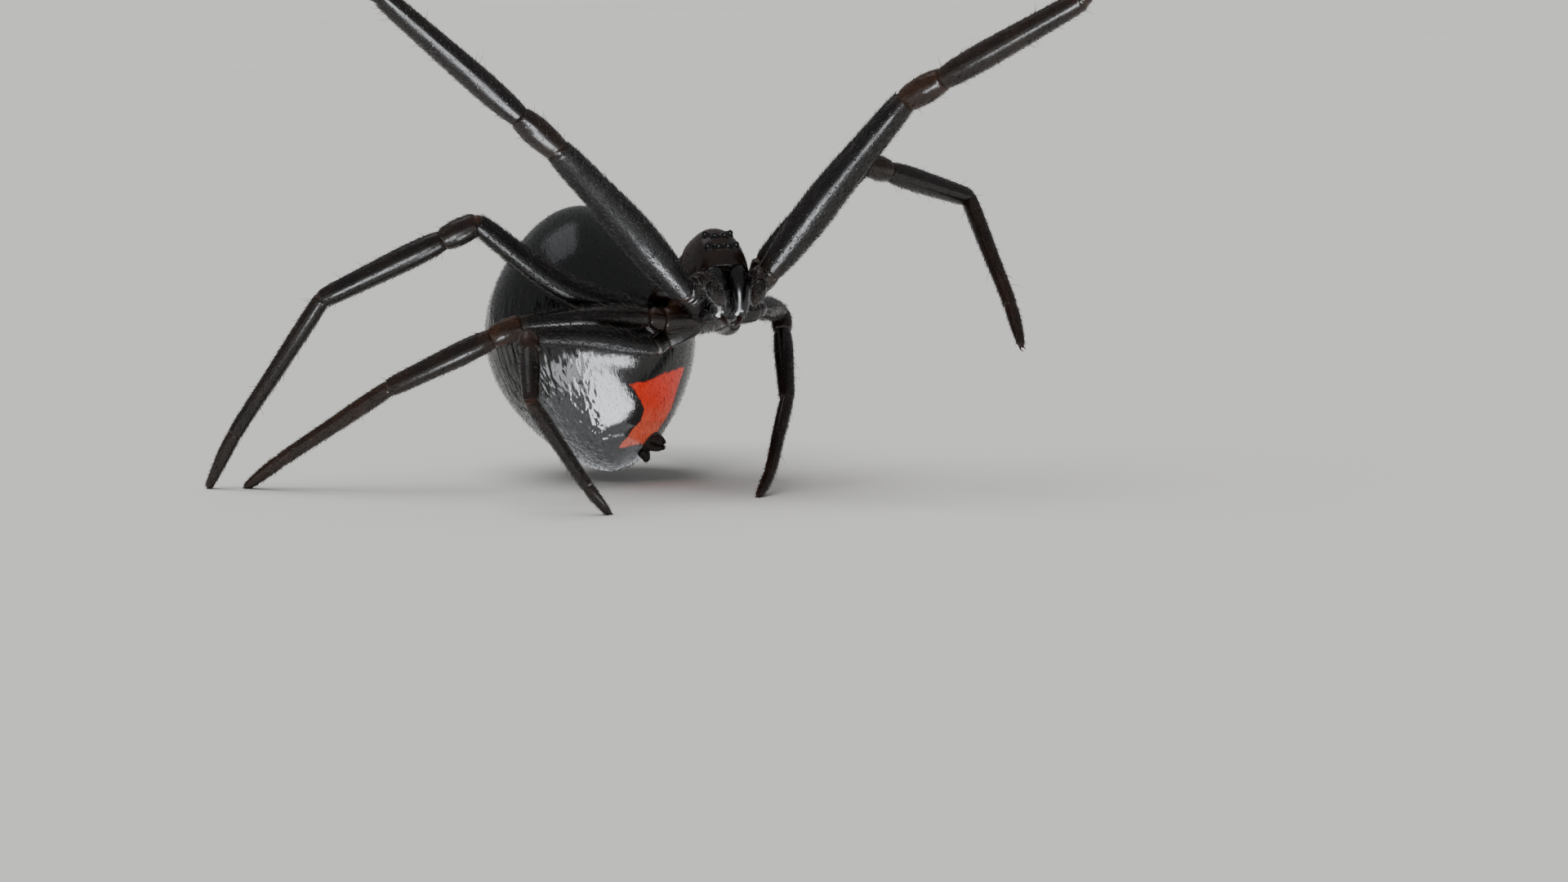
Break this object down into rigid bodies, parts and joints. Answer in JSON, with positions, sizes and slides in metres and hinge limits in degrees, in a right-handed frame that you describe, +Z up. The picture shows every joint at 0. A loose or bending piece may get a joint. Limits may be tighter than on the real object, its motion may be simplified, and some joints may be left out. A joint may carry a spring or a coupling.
{
  "type": "black widow spider model",
  "caption": "Still, life-size model of an adult female black widow spider with its front legs raised, and a round, glossy abdomen with a red hourglass under it.",
  "frame": {"origin": "middle of the underside of the whole animal's box, on the floor that the five standing feet share", "axes": "+Z up from the floor, -Y towards the viewer and the face, +X to the viewer's right, across the spread of the legs"},
  "size_m": [0.0318, 0.026, 0.0242],
  "materials": {
    "cuticle_black": "glossy black cuticle",
    "cuticle_brown": "satin brown-black cuticle",
    "abdomen_black": "glossy black skin with a red hourglass below",
    "spinneret_grey": "dull grey-brown skin"
  },
  "bodies": {
    "root": {"cephalothorax": "cuticle_black", "abdomen": "abdomen_black", "pedicel": "cuticle_black", "spinnerets": "spinneret_grey", "chelicera_right": "cuticle_black", "palp_right": "cuticle_brown", "chelicera_left": "cuticle_black", "palp_left": "cuticle_brown", "leg_right_1_femur": "cuticle_black", "leg_right_1_tibia": "cuticle_black", "leg_right_1_foot": "cuticle_brown", "leg_left_1_femur": "cuticle_black", "leg_left_1_tibia": "cuticle_black", "leg_left_1_foot": "cuticle_brown", "leg_right_2_femur": "cuticle_black", "leg_right_2_tibia": "cuticle_black", "leg_right_2_foot": "cuticle_brown", "leg_left_2_femur": "cuticle_black", "leg_left_2_tibia": "cuticle_black", "leg_left_2_foot": "cuticle_brown", "leg_right_3_femur": "cuticle_black", "leg_right_3_tibia": "cuticle_black", "leg_right_3_foot": "cuticle_brown", "leg_left_3_femur": "cuticle_black", "leg_left_3_tibia": "cuticle_black", "leg_left_3_foot": "cuticle_brown", "leg_right_4_femur": "cuticle_black", "leg_right_4_tibia": "cuticle_black", "leg_right_4_foot": "cuticle_brown", "leg_left_4_femur": "cuticle_black", "leg_left_4_tibia": "cuticle_black", "leg_left_4_foot": "cuticle_brown"}
  },
  "joints": []
}
